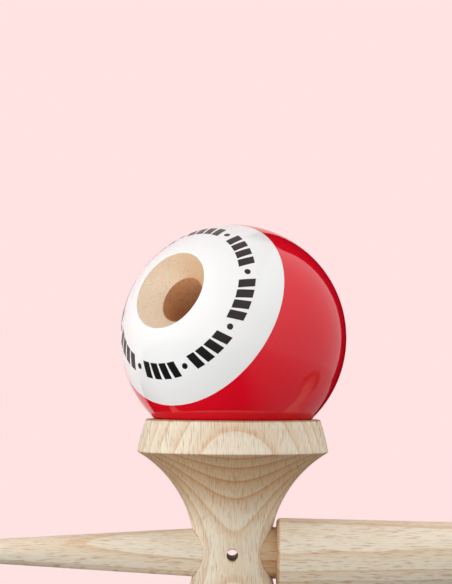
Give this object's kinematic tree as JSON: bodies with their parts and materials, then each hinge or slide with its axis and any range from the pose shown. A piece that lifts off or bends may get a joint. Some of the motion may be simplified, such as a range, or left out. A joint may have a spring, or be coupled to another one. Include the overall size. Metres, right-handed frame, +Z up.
{
  "type": "kendama",
  "caption": "Wooden kendama standing on its small cup: a spool-shaped crosspiece, a spiked handle through it and a red and white lacquered ball in the big cup.",
  "frame": {"origin": "centre of the small cup's rim, on the surface that the kendama stands on", "axes": "+Z up the crosspiece's axis towards the ball, +X along the ken from the spike to the base cup, +Y away from the front"},
  "size_m": [0.165, 0.06, 0.1201],
  "materials": {
    "beech": "turned, sanded and lightly sealed",
    "white_lacquer": "gloss lacquer",
    "red_lacquer": "gloss lacquer",
    "bead_wood": "turned"
  },
  "bodies": {
    "crosspiece": {"crosspiece": "beech"},
    "ken": {"ken": "beech"},
    "bead": {"string_bead": "bead_wood"},
    "ball": {"ball": "beech", "ball_white_coat": "white_lacquer", "ball_red_coat": "red_lacquer"}
  },
  "joints": [
    {"name": "ken_slide", "type": "slide", "parent": "crosspiece", "child": "ken", "axis": [1, 0, 0], "range_m": [0, 0.08]},
    {"name": "ball_lift", "type": "slide", "parent": "crosspiece", "child": "bead", "axis": [0, 0, 1], "range_m": [0, 0.3]},
    {"name": "ball_spin", "type": "hinge", "parent": "bead", "child": "ball", "pos_m": [0, 0, 0.09014], "axis": [-0.5936, -0.6829, 0.4258], "continuous": true}
  ]
}
